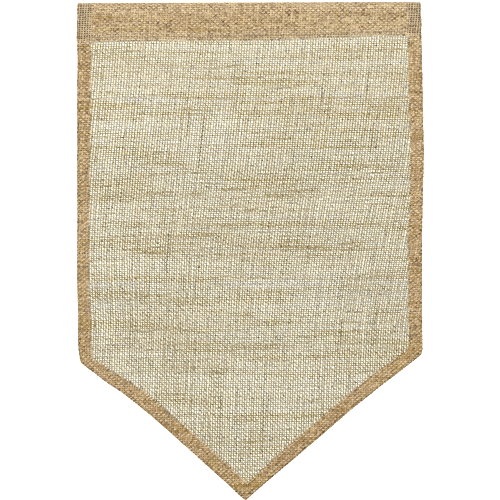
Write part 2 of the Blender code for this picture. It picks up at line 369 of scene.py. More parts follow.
# Slubs: thick golden lengths of weft, at across, up, length in mm and strength
slubs = [
    (-74, -143, 35, 1.2), (29, -119, 26, 1.0), (32, -66, 11, 0.8), (49, -168, 28, 1.0),
    (-10, -165, 35, 0.9), (-84, -170, 24, 1.1), (-50, -170, 7, 0.9), (27, -170, 17, 0.9),
    (122, -90, 23, 0.9), (92, -128, 55, 0.7), (54, -106, 49, 0.6), (-141, -127, 13, 0.8),
    (-14, -64, 64, 0.5), (-80, -51, 60, 0.45), (-16, -52, 14, 0.5), (-129, -40, 37, 0.5),
    (51, -45, 65, 0.45), (-133, -61, 19, 0.4), (-90, -70, 24, 0.3), (-57, -92, 6, 0.7),
    (115, -144, 46, 0.4), (-28, -92, 74, 0.25), (-69, -113, 19, 0.4), (-73, -184, 10, 0.6),
    (-28, -183, 46, 0.4), (1, -185, 13, 0.9), (-20, -198, 68, 0.6), (-20, -199, 14, 0.8),
    (-92, -209, 104, 0.6), (-41, -208, 11, 1.0), (-88, -223, 47, 0.9), (-86, -225, 12, 1.1),
    (27, -219, 72, 0.8), (46, -219, 35, 1.1), (97, -216, 18, 0.8), (69, -227, 46, 0.8),
    (-28, -227, 38, 0.7), (77, -235, 23, 0.6), (-7, -247, 50, 0.5), (115, -246, 37, 0.6),
    (120, -260, 37, 0.4), (-115, -265, 37, 0.35), (-13, -281, 37, 0.8), (-3, -281, 8, 1.0),
    (125, -279, 26, 0.8), (127, -287, 23, 0.5), (-70, -295, 83, 0.4), (-72, -295, 14, 0.6),
    (-64, -310, 55, 0.8), (16, -309, 41, 0.8), (51, -307, 9, 0.7), (124, -196, 28, 0.5),
    (-14, -312, 18, 0.8), (-57, -330, 78, 0.7), (-31, -334, 11, 1.0), (92, -334, 37, 0.6),
    (-69, -354, 18, 0.9), (-14, -377, 28, 0.6), (-6, -377, 9, 1.1), (58, -374, 14, 0.7),
    (-11, -398, 69, 0.6), (2, -398, 20, 1.0), (0, -410, 17, 1.0), (23, -323, 46, 0.5),
    (26, -337, 41, 0.5), (60, -361, 28, 0.4), (25, -388, 41, 0.3), (-39, -386, 23, 0.4),
    (-2, -424, 23, 0.4), (32, -349, 9, 0.4),
]

# Where the weave is closer (or, below 0, more open): across, up, width, height in mm and how much
closer = [
    (90, -110, 160, 150, 0.35), (-110, -95, 90, 60, -0.45), (-20, -103, 34, 26, -0.8),
    (-120, -188, 52, 12, -0.8), (-30, -190, 76, 10, -0.7), (100, -188, 90, 22, -0.5),
    (20, -214, 190, 34, 0.5), (110, -205, 90, 40, 0.1), (-80, -223, 70, 10, 0.7),
    (-95, -240, 110, 16, -0.6), (70, -241, 50, 8, -0.7), (20, -272, 110, 14, -0.6),
    (-128, -295, 28, 26, -0.7), (-20, -345, 70, 14, -0.5), (45, -320, 14, 14, -0.7),
    (20, -311, 190, 16, 0.3), (-60, -330, 100, 16, 0.35), (-5, -400, 80, 12, 0.35),
    (0, -160, 250, 20, 0.25), (-115, -270, 50, 24, 0.3), (100, -262, 70, 40, 0.3),
    (-90, -130, 70, 24, 0.25), (-60, -60, 120, 40, 0.1), (0, -30, 260, 14, -0.3),
]

# Browner (or, below 0, paler) places of the cloth: across, up, width, height in mm and how much
stains = [
    (-62, -14, 42, 30, 0.2), (-110, -26, 100, 16, -0.4), (-137, -10, 14, 8, 0.6),
    (90, -10, 150, 24, -0.3), (-110, -6, 60, 10, -0.25), (10, -26, 80, 12, 0.15),
    (152, -10, 16, 50, -0.9), (20, -214, 200, 34, 0.3), (50, -120, 160, 80, 0.2),
    (-60, -325, 120, 30, 0.2), (-110, -95, 90, 70, -0.25), (-120, -188, 60, 12, -0.3),
    (153, -135, 10, 24, 0.2), (153, -175, 10, 30, 0.2), (153, -210, 10, 30, 0.25),
    (-152, -60, 10, 60, 0.2), (0, -12, 330, 46, -0.3), (0, 30, 330, 30, -0.3),
    (-152, -200, 10, 60, -0.2), (0, -400, 110, 70, 0.25), (-100, -270, 110, 30, 0.15),
]

# Darker lengths of warp: across at the top, up to, down to, and how dark
darkWarps = [
    (-54, -40, -93, 0.55), (-58, -93, -120, 0.6), (-43, -94, -138, 0.65), (-104, -70, -123, 0.45),
    (67, -56, -94, 0.6), (108, -56, -84, 0.5), (112, -110, -136, 0.5), (-11, -70, -94, 0.3),
    (-76, -200, -250, 0.8), (-50, -245, -268, 0.6), (-60, -245, -264, 0.45), (-94, -253, -264, 0.4),
    (-18, -254, -268, 0.4), (-107, -226, -266, 0.4), (-111, -280, -322, 0.4), (84, -285, -310, 0.6),
    (-28, -330, -420, 0.35), (12, -330, -410, 0.35), (-12, -365, -410, 0.3), (55, -200, -230, 0.3),
    (-110, -130, -160, 0.3), (40, -130, -150, 0.3),
]


def drift(places, knotGap, size):  # a smooth random wander along a thread
    low, high = places.min() - knotGap, places.max() + knotGap
    knots = np.arange(low, high + knotGap, knotGap)
    heights = dice.normal(0, size, len(knots))
    where = (places - low) / knotGap
    first = np.clip(where.astype(int), 0, len(knots) - 2)
    share = where - first
    share = share * share * (3 - 2 * share)
    return heights[first] * (1 - share) + heights[first + 1] * share


def unevenly(low, high, pitchAt, uneven):  # places about one pitch apart that fill the span
    places = [low]
    while places[-1] < high:
        places.append(places[-1] + pitchAt(places[-1]))
    steps = np.diff(places) * (1 + dice.normal(0, uneven, len(places) - 1))
    steps *= 1 + drift(np.arange(len(steps), dtype=float), 9.0, 0.02)
    return low + np.cumsum(steps) * (high - low) / steps.sum()


def fromTable(table, places, column=1):
    return np.interp(places, [row[0] for row in table], [row[column] for row in table])


def leaning():  # at each height, how far over the warp has leaned and how far it has fanned out
    heights = np.arange(-500.0, 120.0, 2.0)
    start = np.searchsorted(heights, weave["leanFrom"])
    leaned, fanned = (np.cumsum(np.tan(np.radians(fromTable(weave["lean"], heights, column)))) * 2.0
                      for column in (1, 2))
    return heights, leaned - leaned[start], fanned - fanned[start]


warpPlaces = unevenly(*weave["warpSpan"], lambda x: weave["warpPitch"], weave["warpUneven"])
weftPlaces = unevenly(
    *weave["weftSpan"], lambda v: fromTable(weave["weftPitch"], v), weave["weftUneven"])
heights, leaned, fanned = leaning()
# a slow and a quick wander for each thread, as heights at evenly spaced knots
warpWanders = [(dice.normal(0, 1, 24), dice.normal(0, 1, 70)) for _ in warpPlaces]
weftWanders = [(dice.normal(0, 1, 24), dice.normal(0, 1, 60)) for _ in weftPlaces]


def wanderAt(wander, places, low, high):
    slow, quick = (np.interp(places, np.linspace(low, high, len(knots)), knots) for knots in wander)
    return 0.7 * slow + 0.5 * quick


def weftRise(x, v):  # the wefts climb from the left edge, and dip and rise a little across the flag
    climb = 2.2 * ramp((x + 165) / 75) - 1.0 * ramp((x + 85) / 60) + 0.9 * ramp((x - 40) / 90)
    return climb + 0.25 * np.sin(x / 37 + v / 60) + 0.1 * np.sin(x / 19 - v / 41 + 1.3)


crossX = np.tile(warpPlaces, (len(weftPlaces), 1))
crossV = np.tile(weftPlaces[:, None], (1, len(warpPlaces)))
shape = crossX.shape
for _ in range(5):  # a thread's place depends on those it crosses, so they settle round by round
    for i, place in enumerate(warpPlaces):
        v = crossV[:, i]
        crossX[:, i] = (place * (1 + fromTable(weave["drawnIn"], v)) + np.interp(v, heights, leaned)
                        + np.interp(v, heights, fanned) * place / outline["sleeveRight"]
                        + weave["warpWander"] * wanderAt(warpWanders[i], v, -490, 90))
    for j, place in enumerate(weftPlaces):
        x = crossX[j]
        crossV[j] = (place + weftRise(x, place)
                     + weave["weftWander"] * wanderAt(weftWanders[j], x, -240, 240))
skew = 1 - 2 * (np.indices(shape).sum(0) % 2)
skew = skew * (1 + weave["joggedLower"] * ramp((-100 - crossV) / 60))
crossX += weave["jogged"][0] * skew + dice.normal(0, weave["jitter"][0], shape)
crossV += weave["jogged"][1] * skew + dice.normal(0, weave["jitter"][1], shape)
print("weave laid out:", len(warpPlaces), "warps,", len(weftPlaces), "wefts")


def patch(x, v, across, up, upPower=4):  # 1 inside a rounded patch of the cloth, 0 well outside it
    return np.exp(-((crossX - x) / (across / 2)) ** 4 - ((crossV - v) / (up / 2)) ** upPower)


def nearest(x, v, stretch=1):  # the row and column of the crossing nearest to a spot
    return np.unravel_index(np.argmin((crossX - x) ** 2 + stretch * (crossV - v) ** 2), shape)


# Width, gold and darkness of each thread where it crosses another
warpWide = np.ones(shape)
weftWide = np.ones(shape)
for i in range(shape[1]):
    warpWide[:, i] = ((1 + dice.normal(0, weave["warpUnevenWidth"]))
                      * (1 + drift(crossV[:, i], weave["warpStretch"], weave["widthWander"])))
for j in range(shape[0]):
    weftWide[j] = ((1 + dice.normal(0, weave["weftUnevenWidth"]))
                   * (1 + drift(crossX[j], weave["weftStretch"], weave["widthWander"])))
for *spot, much in closer:
    bell = patch(*spot, 2)
    weftWide *= 1 + 0.1 * much * bell
    warpWide *= 1 + 0.06 * much * bell
stain = sum(much * patch(*spot) for *spot, much in stains)


def streaks(alongGap, acrossGap, upright):  # a smooth random field, long one way and short the other
    gapX, gapV = (acrossGap, alongGap) if upright else (alongGap, acrossGap)
    knots = dice.normal(0, 1, (int(620 / gapV), int(540 / gapX)))
    column, row = (crossX + 262) / gapX, (crossV + 500) / gapV
    i = np.clip(column.astype(int), 0, knots.shape[1] - 2)
    j = np.clip(row.astype(int), 0, knots.shape[0] - 2)
    a, b = ramp(column - i), ramp(row - j)
    return ((knots[j, i] * (1 - a) + knots[j, i + 1] * a) * (1 - b)
            + (knots[j + 1, i] * (1 - a) + knots[j + 1, i + 1] * a) * b)


# gold: above 0 a thread is golden, below 0 it is bleached
longer, shorter = (streaks(*size, False) for size in weave["weftStreaks"])
weftGold = weave["goldStreaks"] * (longer + 0.8 * shorter) + weave["golden"]
longer, shorter = (streaks(*size, True) for size in weave["warpStreaks"])
warpGold = weave["warpStreaked"] * weave["goldStreaks"] * (longer + shorter) + 0.5 * weftGold
for *spot, much in closer:
    weftGold += 0.25 * much * patch(*spot)
warpDark = np.zeros(shape)
slubRows, darkColumns = set(), set()
loose = [(dice.uniform(-150, 150), dice.uniform(-440, 30), dice.uniform(5, 22), dice.uniform(0.15, 0.5))
         for _ in range(weave["looseSlubs"])]
for x, v, length, strength in slubs + loose:
    j = nearest(x, v, 9)[0]
    bell = np.exp(-((crossX[j] - x) / (length / 2 + 3)) ** 4)
    weftWide[j] *= 1 + weave["slubWider"] * min(strength, 1.2) * bell
    weftGold[j] = np.maximum(weftGold[j], strength * bell)
    # a slub's loose fibres lie over the warps it passes
    warpGold[j] = np.maximum(warpGold[j], weave["slubOver"] * strength * bell)
    if strength >= 0.9:
        slubRows.add(int(j))
    if strength > 0.3:
        for step, share in weave["slubNear"]:
            weftGold[j + step] = np.maximum(weftGold[j + step], share * strength * bell)
            weftWide[j + step] *= 1 + 0.08 * share * strength * bell
for x, top, bottom, dark in darkWarps:
    middle = (top + bottom) / 2
    i = nearest(x, middle)[1]
    bell = np.exp(-((crossV[:, i] - middle) / ((top - bottom) / 2)) ** 4)
    warpDark[:, i] = np.maximum(warpDark[:, i], 0.45 * dark * bell)
    warpGold[:, i] = np.maximum(warpGold[:, i], 0.7 * dark * bell)
    warpWide[:, i] *= 1 + 0.15 * dark * bell
    darkColumns.add(int(i))
wider, weftDark = (fromTable(weave[table], crossV) for table in ("wideAt", "darkAt"))
warpDark += weftDark
warpWide, weftWide = np.clip(warpWide * wider, 0.6, 1.5), np.clip(weftWide * wider, 0.6, 1.55)
warpTone = dice.normal(0, 1, shape[1])
weftTone = dice.normal(0, 1, shape[0])
weftSpark = dice.normal(*weave["weftSpark"], shape)
weftSpark = weftSpark + dice.normal(0, weave["weftSparkByThread"], (shape[0], 1))
warpSpark = dice.normal(*weave["warpSpark"], shape)
knots = np.abs(dice.normal(0, weave["knotted"], shape))
knots = knots + (dice.random(shape) < weave["blackKnots"]) * dice.uniform(0.3, 0.8, shape)
warpMottle, weftMottle = (np.clip(dice.normal(0, 1, shape), -2, 2) for _ in range(2))
yarns = {
    "warp": (warpWide, warpTone, warpGold, warpDark, warpSpark, warpMottle),
    "weft": (weftWide, weftTone, weftGold, weftDark, weftSpark, weftMottle),
}


class Thread:
    # one length of thread on the flat cut, point by point
    def __init__(self, number, **points):
        self.number = number
        self.points = points

    def __getitem__(self, name):
        return self.points[name]

    def part(self, first, last):
        points = {name: values[first:last + 1] for name, values in self.points.items()}
        return Thread(self.number, **points)

    def withStops(self, measure, targets):  # adds a point wherever the thread passes one of the targets
        stops = []
        for target in targets:
            side = measure > target
            turns = np.nonzero(side[1:] != side[:-1])[0]
            shares = (target - measure[turns]) / (measure[turns + 1] - measure[turns])
            stops += [turn + share for turn, share in zip(turns, shares) if 0.1 < share < 0.9]
        if not stops:
            return self
        kept = np.arange(len(measure))
        places = np.array(sorted([*kept, *stops]))
        points = {name: np.interp(places, kept, values) for name, values in self.points.items()}
        return Thread(self.number, **points)


def insideCut(x, v):
    keep = v < backEnd(x) + folding["turnedUnder"] * mm
    for line in foldLines:
        out, width = line.beyond(x, v)
        keep &= out < 2 * width + folding["rawReach"] * mm
    return keep


def foldStops(thread):
    thread = thread.withStops(thread["v"] - np.interp(thread["x"], seamX, seamZ), [0.0])
    thread = thread.withStops(thread["v"] - backEnd(thread["x"]), [0.2 * mm, 1.1 * mm])
    bendRun = math.pi * plyGap
    for index, line in enumerate(foldLines):
        x, v, _ = foldOver(thread["x"], thread["v"], thread["front"], index)
        out, width = line.beyond(x, v)
        thread = thread.withStops(out, [-plyGap + share * bendRun for share in (0.12, 0.5, 0.88)])
        x, v, _ = foldOver(thread["x"], thread["v"], thread["front"], index)
        out, width = line.beyond(x, v)
        past = out + plyGap - bendRun - (width - plyGap * 1.5)
        # the inner fold runs 1.57 times as far as plyGap
        thread = thread.withStops(past, [share * plyGap * 1.57 for share in (0.2, 0.8)])
    return thread


def findPlies(thread):
    # plies: 1 where the cloth lies several plies deep, 0 where it is open. hidden: 1 for a ply among
    # others. corner: 1 where a hem runs on inside the sleeve
    x, v, front = foldOver(thread["x"], thread["v"], thread["front"])
    aboveSeam = v - np.interp(x, seamX, seamZ)
    sleeve = ramp(aboveSeam / mm + 0.5)
    hem, inward = np.zeros(len(x)), np.full(len(x), 1.0)
    for line in foldLines:
        out, width = line.beyond(x, v)
        hem = np.maximum(hem, 1 - ramp((-out - width) / mm + 0.5))
        inward = np.minimum(inward, -out)
    folded = np.maximum(sleeve, hem)
    depth = -front / plyGap
    between = ramp((0.65 - np.abs(depth - 1)) / 0.25)
    seamed = ramp((weave["seamDepth"] * mm - aboveSeam) / (3 * mm)) * (1 - hem)
    seamed = weave["seamed"] * seamed * sleeve
    atFold = np.exp(-(inward / mm / weave["foldShadeDepth"]) ** 2)
    # no bleached threads where the cloth is folded, and fewer golden ones
    duller = np.where(thread["gold"] < 0, 1 - folded, 1 - 0.5 * folded)
    corner = hem * sleeve
    outer = corner * ramp((0.6 - depth) / 0.3)
    points = thread.points
    points["plies"] = np.maximum(sleeve - seamed, hem)
    points["stain"] = points["stain"] - weave["seamPaler"] * seamed
    # dark: the thread's own darkness where the cloth is open, and painted shade right at an outer fold
    points["dark"] = points["dark"] * (1 - points["plies"]) + weave["foldShade"] * atFold
    points["gold"] = points["gold"] * duller + weave["hemGold"] * hem * (1 - sleeve)
    points["hidden"] = np.where(sleeve > 0.5, ramp((depth - 0.4) / 0.25), between * hem)
    points["hidden"] = points["hidden"] * ramp(inward / mm - 0.4)
    points["corner"] = corner
    points["radius"] *= 1 + weave["pressed"] * points["plies"] - weave["cornerThinner"] * outer
    # a stronger painted highlight on the tops of the corners' outer threads
    points["spark"] += weave["cornerPaler"] * outer
    return thread


def zone(thread):  # 0 panel, 1 hem, 2 sleeve, for each point of a thread
    x, v = thread["x"], thread["v"]
    found = np.zeros(len(x), int)
    apex = -plyGap + 0.5 * math.pi * plyGap
    for index, line in enumerate(foldLines):
        foldedX, foldedV, _ = foldOver(x, v, thread["front"], index)
        found[line.beyond(foldedX, foldedV)[0] > apex - 0.01 * mm] = 1
    found[v > np.interp(x, seamX, seamZ) + 0.001 * mm] = 2
    return found


def threadsOf(kind):
    made = []
    warps = kind == "warp"
    side = 1.0 if warps else -1.0
    wide, tone, gold, dark, spark, mottle = yarns[kind]
    for number in range(len(tone)):
        pick = (slice(None), number) if warps else (number, slice(None))
        x, v = crossX[pick] * mm, crossV[pick] * mm
        inside = np.nonzero(insideCut(x, v))[0]
        # a thread near a side edge can leave the cut and come back
        breaks = np.nonzero(np.diff(inside) > 1)[0] + 1
        runs = [run for run in np.split(inside, breaks) if len(run) > 2]
        crossing = np.arange(len(x)) + number + (0 if warps else 1)
        over = 1 - 2 * (crossing % 2)
        along = np.concatenate([[0], np.cumsum(np.hypot(np.diff(x), np.diff(v)))])
        thread = Thread(
            number, x=x, v=v, front=over * weave["crimp"] * mm, crossing=crossing * -side, along=along,
            radius=wide[pick] * weave[kind + "Width"] / 2 * mm, tone=np.full(len(x), tone[number]),
            gold=gold[pick], dark=dark[pick] + side * weave["warpDarker"], knot=knots[pick],
            spark=spark[pick], mottle=mottle[pick], stain=stain[pick])
        made += [findPlies(foldStops(thread.part(run[0], run[-1]))) for run in runs]
    return made


def cutByZone(threads):
    zones = {0: [], 1: [], 2: []}
    for thread in threads:
        found = zone(thread)
        # a stretch between two points goes with the later zone of the two
        spans = np.maximum(found[1:], found[:-1])
        first = 0
        for last in range(1, len(spans) + 1):
            if last == len(spans) or spans[last] != spans[first]:
                zones[int(spans[first])].append(thread.part(first, last))
                first = last
    return zones


warpZones = cutByZone(threadsOf("warp"))
weftZones = cutByZone(threadsOf("weft"))
upright, level = (len({thread.number for thread in zones[0]}) for zones in (warpZones, weftZones))
print("threads cut into panel, hems and sleeve; in the panel", upright, "warps,", level, "wefts")


def joined(threads, name):  # one value for each point of all the threads
    return np.concatenate([thread[name] for thread in threads])


def roundEach(threads, name):  # and one for each of the four corners round it
    return np.repeat(joined(threads, name), 4)


def tubes(name, threads, flatness):
    # a curve with one straight-run spline for each thread, made a mesh of four-sided tubes
    curve = bpy.data.curves.new(name, "CURVE")
    curve.dimensions = "3D"
    curve.twist_mode = "Z_UP"
    curve.bevel_depth = 1.0
    curve.bevel_resolution = 0
    for thread in threads:
        spline = curve.splines.new("POLY")
        spline.points.add(len(thread["x"]) - 1)
        weights = np.ones(len(thread["x"]))
        spots = np.stack([thread["x"], thread["v"], thread["front"] / flatness, weights], 1)
        spline.points.foreach_set("co", spots.ravel())
        spline.points.foreach_set("radius", thread["radius"])
    laid = bpy.data.objects.new(name, curve)
    bpy.context.scene.collection.objects.link(laid)
    graph = bpy.context.evaluated_depsgraph_get()
    mesh = bpy.data.meshes.new_from_object(laid.evaluated_get(graph), depsgraph=graph)
    bpy.data.objects.remove(laid)
    bpy.data.curves.remove(curve)
    mesh.name = name
    spots = np.zeros(len(mesh.vertices) * 3)
    mesh.vertices.foreach_get("co", spots)
    spots = spots.reshape(-1, 3)
    spots[:, 2] *= flatness
    return mesh, spots


# what the materials are told about a thread at each of its points
yarnMarks = ("tone", "gold", "dark", "knot", "spark", "mottle", "stain", "plies", "crossing")


def marked(mesh, threads, columnsWide):
    # per-thread values for the materials, and a map that unrolls each thread on a strip of its own
    values = {label: roundEach(threads, label) for label in yarnMarks}
    plies, corner = values["plies"], roundEach(threads, "corner")
    rings = len(mesh.vertices) // 4
    inner, sides = np.tile([0, 0.2, 1, 0.2], rings), np.tile([0, 1, 0, 1], rings)
    # painted shade: the sides of a thread that face other plies and the plies hidden among others, most
    # of all in the corners, or the sides of an open one
    values["shade"] = np.maximum(inner, roundEach(threads, "hidden")) * (plies * (0.5 + 0.5 * corner))
    values["shade"] += weave["edged"] * sides * (1 - plies)
    for label, value in values.items():
        mesh.attributes.new(label, "FLOAT", "POINT").data.foreach_set("value", value)
    rows = math.ceil(len(threads) / columnsWide)
    strip = np.concatenate([np.full(len(t["x"]), number) for number, t in enumerate(threads)])
    share = np.concatenate([
        (t["along"] - t["along"][0]) / (t["along"][-1] - t["along"][0]) for t in threads])
    length = joined(threads, "along")
    corners = np.zeros(len(mesh.loops), int)
    mesh.loops.foreach_get("vertex_index", corners)
    point = corners // 4
    ring = (corners % 4).reshape(-1, 4)
    seam = (ring.max(1) == 3) & (ring.min(1) == 0)
    ring[seam] = np.where(ring[seam] == 0, 4, ring[seam])
    ring = ring.ravel() / 4
    column, row = strip[point] // rows, strip[point] % rows
    # each thread's strip has a margin round it
    bake = mesh.uv_layers.new(name="OFBake")
    bake.data.foreach_set("uv", np.stack([(column + 0.01 + 0.98 * share[point]) / columnsWide,
                                          (row + 0.1 + 0.8 * ring) / rows], 1).ravel())
    yarn = mesh.uv_layers.new(name="yarn")  # metres along, and the share of the way round
    yarn.data.foreach_set("uv", np.stack([length[point], ring], 1).ravel())


def clothPiece(name, threads, material, nodes, columnsWide, woven=False):
    mesh, spots = tubes(name, threads, weave["flatness"] if woven else 1.0)
    marked(mesh, threads, columnsWide)
    x, v, front = spots.T
    if woven:  # pressing a hem or the sleeve flattens its threads, and the flat cut is then folded
        middle, plies = roundEach(threads, "front"), roundEach(threads, "plies")
        front = middle + (front - middle) * (1 - 1.1 * weave["pressed"] * plies)
        x, v, front = foldOver(x, v, front)
    mesh.vertices.foreach_set("co", hang(x, v, front).ravel())
    mesh.materials.clear()
    mesh.materials.append(material)
    for face in mesh.polygons:
        face.use_smooth = True
    mesh.update()
    piece = bpy.data.objects.new(name, mesh)
    bpy.context.scene.collection.objects.link(piece)
    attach(piece, "root")
    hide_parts(*nodes)
    print(name, sum(len(face.vertices) - 2 for face in mesh.polygons), "triangles")
    return piece


# Materials
def hexColour(code):  # sRGB hex to linear
    channels = [int(code[i:i + 2], 16) / 255 for i in (1, 3, 5)]
    linear = [c / 12.92 if c <= 0.04045 else ((c + 0.055) / 1.055) ** 2.4 for c in channels]
    return (*linear, 1.0)


def addNode(owner, kind, inputs=(), output=0, **settings):
    # inputs by name or by number, each a value, a hex colour or another node's output. A Mix node's
    # two colours are its inputs 6 and 7, and what comes of them is its output 2
    node = owner.node_tree.nodes.new("ShaderNode" + kind)
    for key, setting in settings.items():
        setattr(node, key, setting)
    for key, source in inputs.items() if isinstance(inputs, dict) else enumerate(inputs):
        if isinstance(source, bpy.types.NodeSocket):
            owner.node_tree.links.new(source, node.inputs[key])
        else:
            node.inputs[key].default_value = hexColour(source) if isinstance(source, str) else source
    return node.outputs[output]


def startMaterial(name, levels):  # a new material and its shader, with these of its inputs set
    material = bpy.data.materials.new(name)
    material.use_nodes = True
    shader = material.node_tree.nodes["Principled BSDF"]
    for label, level in levels.items():
        shader.inputs[label].default_value = level
    return material, shader


juteYarn = {
    "pale": "#fdecc9",
    "brown": "#c9b17c",
    # how much browner it is from thread to thread, in a stain, a blotch or a streak
    "byThread": 0.06,
    "byStain": 0.4,
    "byBlotch": 0.4,
    "byStreak": 0.5,
    "foldedPale": "#fae0b0",  # where it lies several plies deep, light comes back browner
    "foldedBrown": "#b8864c",
    "gold": "#c39f2f",
    "bleached": "#ebe3d6",
    "bleaching": 2.1,
    "lit": "#f9edca",  # the painted highlight on the lit slopes of a single ply
    "foldedLit": "#ffe7bb",  # and the painted highlight on the tops of the threads in a hem
    "slope": (0.3, 0.2),  # painted light and shade: paler on one slope of an open thread's every rise, darker on the other, as if lit from one side
    # painted highlight on a folded thread's raised tops, and painted shade where they are darker
    "litRaised": 0.9,
    "darkRaised": 0.7,
    "mottled": 0.2,  # how much one crossing is lighter or darker than the next in a hem or the sleeve
    "nubs": 3.6,  # and one millimetre than the next
    "mottledOpen": 0.75,  # how much of both there is where the cloth is open
    "openDark": "#2c2413",  # the colour of its shaded spots and sides
    "foldedDark": "#532806",
    "under": 0.42,  # painted shade: darker where a folded thread dips under another
    "spans": 0.18,  # darker where an open thread runs from one crossing to the next
    "roughness": 0.82,
    "blotches": 0.038,  # a mm: soft patches of the cloth, about 26 mm across
    "streaks": 0.3,  # a mm: bundles of fibre, which run along the thread for 3 to 6 mm
    "streaksRound": 5.0,  # and are a fifth of it wide
    "clumps": 1.5,  # a mm: nubs of fibre, well under a millimetre long
    "clumpsRound": 2.5,
    "twist": 2.3,  # mm from strand to strand along a thread
    "strands": 0.12,  # mm deep
}


def makeJute(name, look):
    # jute yarn, retted and singly spun: dry, fibrous and matt, each thread of a slightly other straw
    # colour
    material, shader = startMaterial(name, {
        "Roughness": look["roughness"], "Specular IOR Level": 0.15,
        "Sheen Weight": 0.05, "Sheen Roughness": 0.6})
    found = {label: addNode(material, "Attribute", output="Fac", attribute_name=label)
             for label in (*yarnMarks, "shade")}
    place = addNode(material, "TexCoord", output="Object")
    yarn = addNode(material, "UVMap", uv_map="yarn")
    found["blotch"] = addNode(material, "TexNoise", {
        "Vector": place, "Scale": 1000 * look["blotches"], "Detail": 3.0})
    # no two threads have the same streaks and nubs
    own = addNode(material, "Math", (found["tone"], 40.0), operation="MULTIPLY")
    for label, lengthwise, roundwise, detail, rough in (
            ("streak", "streaks", "streaksRound", 4.0, 0.7),
            ("nub", "clumps", "clumpsRound", 1.0, 0.5)):
        stretched = addNode(material, "Mapping", {
            "Vector": yarn, "Scale": (1000 * look[lengthwise], look[roundwise], 1.0)})
        found[label] = addNode(material, "TexNoise", {
            "Vector": stretched, "W": own, "Scale": 1.0, "Detail": detail, "Roughness": rough},
            noise_dimensions="4D")

    # One sum a row: its name, how it is worked out and from what. Those in clamped stay from 0 to 1.
    # rise runs from -1 under a crossing thread to 1 over it, and is 0 halfway to the next one, where
    # slope is 1 or -1
    clamped = ("straw", "browner", "golden", "bleached", "topmost", "lit", "darkness")
    sums = (
        ("straw1", "MULTIPLY_ADD", "tone", look["byThread"], -0.02),
        ("straw2", "MULTIPLY_ADD", "stain", look["byStain"], "straw1"),
        ("straw3", "MULTIPLY_ADD", "blotch", look["byBlotch"], "straw2"),
        ("straw", "MULTIPLY_ADD", "streak", look["byStreak"], "straw3"),
        ("browner", "MULTIPLY_ADD", "straw", 1.3, -0.08),
        ("golden", "MULTIPLY", "gold", 1.1),
        ("bleached", "MULTIPLY", "gold", -look["bleaching"]),
        ("turn", "MULTIPLY", "crossing", math.pi),
        ("rise", "COSINE", "turn"),
        ("across", "ABSOLUTE", "rise"),
        ("single", "SUBTRACT", 1.0, "plies"),
        # slope: painted light and shade on the two slopes of an open thread's every rise
        ("anySlope", "SINE", "turn"),
        ("slope", "MULTIPLY", "anySlope", "single"),
        ("along", "SUBTRACT", 1.0, "across"),
        ("between", "MULTIPLY", "along", "single"),
        # pale or dark where a folded thread rises, a painted highlight or shade, and mottled from
        # crossing to crossing and nub to nub
        ("topmost", "MULTIPLY_ADD", "rise", 1.0, 0.7),
        ("top", "MULTIPLY", "topmost", "plies"),
        ("raised", "MULTIPLY", "top", "spark"),
        ("nubs", "MULTIPLY_ADD", "nub", look["nubs"], -look["nubs"] / 2),
        ("anyMottle", "MULTIPLY_ADD", "mottle", look["mottled"], "nubs"),
        ("mottleShare", "MULTIPLY_ADD", "plies", 1 - look["mottledOpen"], look["mottledOpen"]),
        ("mottling", "MULTIPLY", "anyMottle", "mottleShare"),
        # how light: painted highlights on raised threads and on one slope of an open one, and mottling
        ("raisedUp", "MAXIMUM", "raised", 0.0),
        ("slopeUp", "MAXIMUM", "slope", 0.0),
        ("mottleUp", "MAXIMUM", "mottling", 0.0),
        ("lit1", "MULTIPLY", "raisedUp", look["litRaised"]),
        ("lit2", "MULTIPLY_ADD", "slopeUp", look["slope"][0], "lit1"),
        ("lit", "ADD", "lit2", "mottleUp"),
        # how dark: crossings and the spans between them, mottling, the thread's own darkness, and
        # painted shade in dips, on the other slope, at folds and on sides
        ("squared", "POWER", "across", 2.0),
        ("knotted", "MULTIPLY", "squared", "knot"),
        ("crossed", "MULTIPLY_ADD", "between", look["spans"], "knotted"),
        ("riseDown", "MINIMUM", "rise", 0.0),
        ("foldedDown", "MULTIPLY", "riseDown", "plies"),
        ("mottleDown", "MINIMUM", "mottling", 0.0),
        ("slopeDown", "MINIMUM", "slope", 0.0),
        ("raisedDown", "MINIMUM", "raised", 0.0),
        ("dips1", "MULTIPLY", "foldedDown", -look["under"]),
        ("dips2", "SUBTRACT", "dips1", "mottleDown"),
        ("dips3", "MULTIPLY_ADD", "slopeDown", -look["slope"][1], "dips2"),
        ("dips4", "MULTIPLY_ADD", "raisedDown", -look["darkRaised"], "dips3"),
        ("shaded", "ADD", "dark", "shade"),
        ("dipped", "ADD", "crossed", "dips4"),
        ("darkness", "ADD", "shaded", "dipped"),
    )
    for result, operation, *terms in sums:
        found[result] = addNode(material, "Math", [found.get(term, term) for term in terms],
                                operation=operation, use_clamp=result in clamped)
    # one blend a row: its name, its share, and the two colours it runs between
    blends = (
        ("openYarn", "straw", look["pale"], look["brown"]),
        ("foldedYarn", "browner", look["foldedPale"], look["foldedBrown"]),
        ("dull", "plies", "openYarn", "foldedYarn"),
        ("withGold", "golden", "dull", look["gold"]),
        ("withBleach", "bleached", "withGold", look["bleached"]),
        # light: the colour of the painted highlights; deep: the colour of the painted shade
        ("light", "plies", look["lit"], look["foldedLit"]),
        ("withLight", "lit", "withBleach", "light"),
        ("deep", "plies", look["openDark"], look["foldedDark"]),
        ("colour", "darkness", "withLight", "deep"),
    )
    for result, share, first, second in blends:
        found[result] = addNode(material, "Mix", {
            "Factor": found[share], 6: found.get(first, first), 7: found.get(second, second)},
            2, data_type="RGBA")
    material.node_tree.links.new(found["colour"], shader.inputs["Base Color"])

